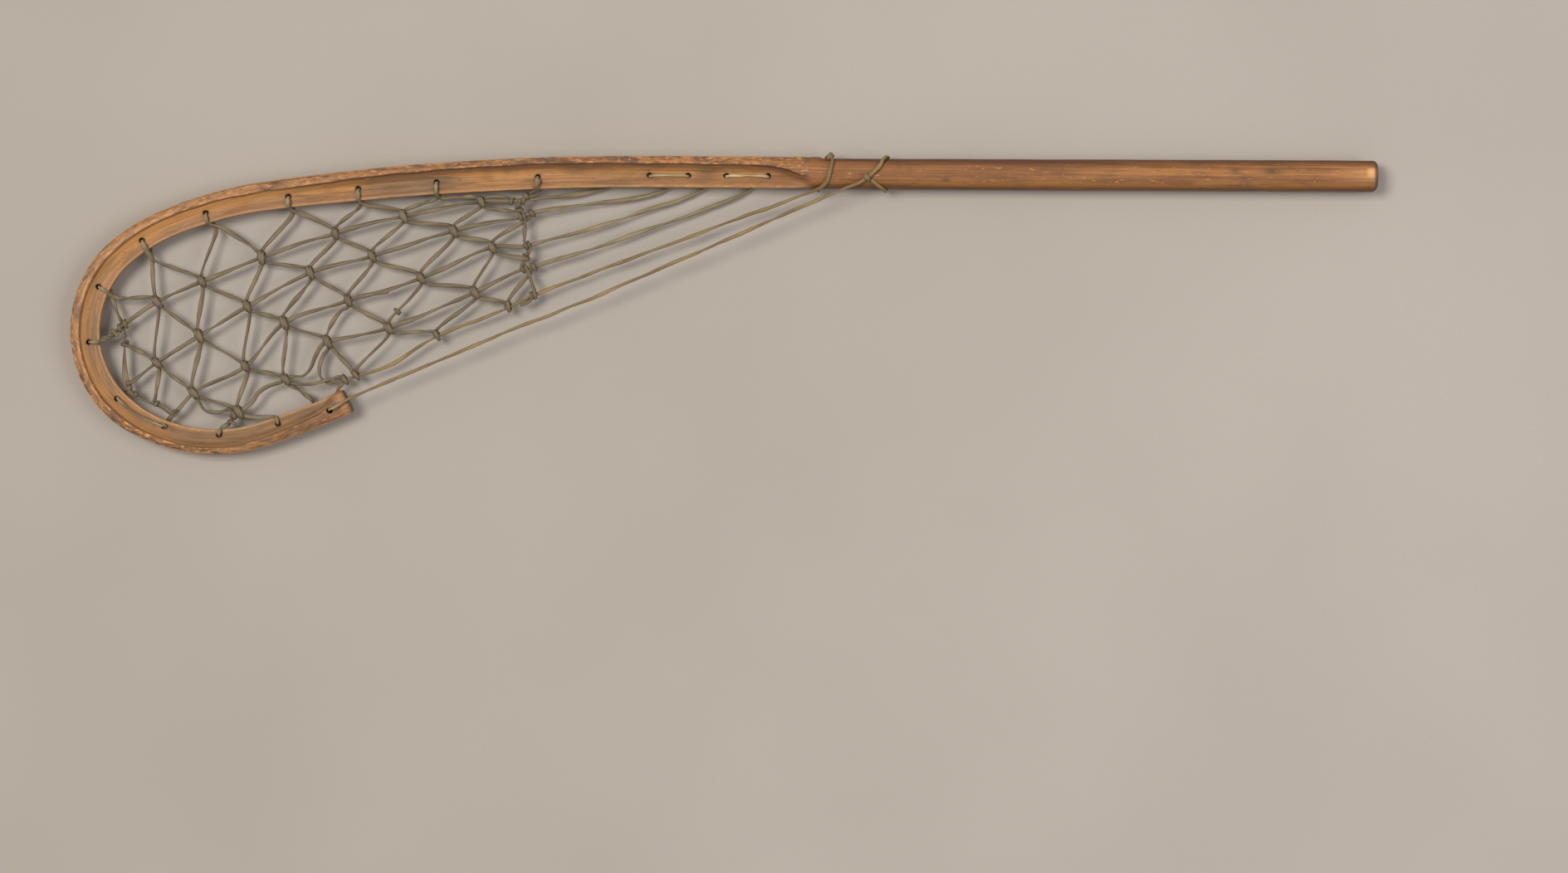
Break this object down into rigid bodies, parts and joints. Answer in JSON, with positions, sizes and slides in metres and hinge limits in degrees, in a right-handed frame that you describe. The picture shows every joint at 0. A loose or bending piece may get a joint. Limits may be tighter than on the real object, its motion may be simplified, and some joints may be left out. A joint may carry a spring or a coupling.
{
  "type": "lacrosse stick",
  "caption": "Traditional one-piece wooden lacrosse stick: a bent stave with a hollowed crook, strung with hide lead thongs and zigzag lacing lashed to the shaft.",
  "frame": {"origin": "centre of the butt end face, on the middle line of the shaft", "axes": "+X out of the butt along the shaft, so the crook lies towards -X; +Y away from the net; +Z out of the hollowed face that carries the lacing"},
  "size_m": [1.2607, 0.2914, 0.0318],
  "materials": {
    "wood": "satin, worn",
    "hide": "dry twisted hide",
    "pale_hide": "dry twisted hide"
  },
  "bodies": {
    "root": {"stave": "wood", "upper_lead_thong": "hide", "lower_lead_thong": "hide", "outer_lead_thong": "pale_hide", "edge_thong": "hide", "lacing_row_1": "hide", "lacing_row_2": "hide", "lacing_row_3": "hide", "lacing_row_4": "hide", "lacing_row_5": "hide", "end_thong": "hide"}
  },
  "joints": []
}
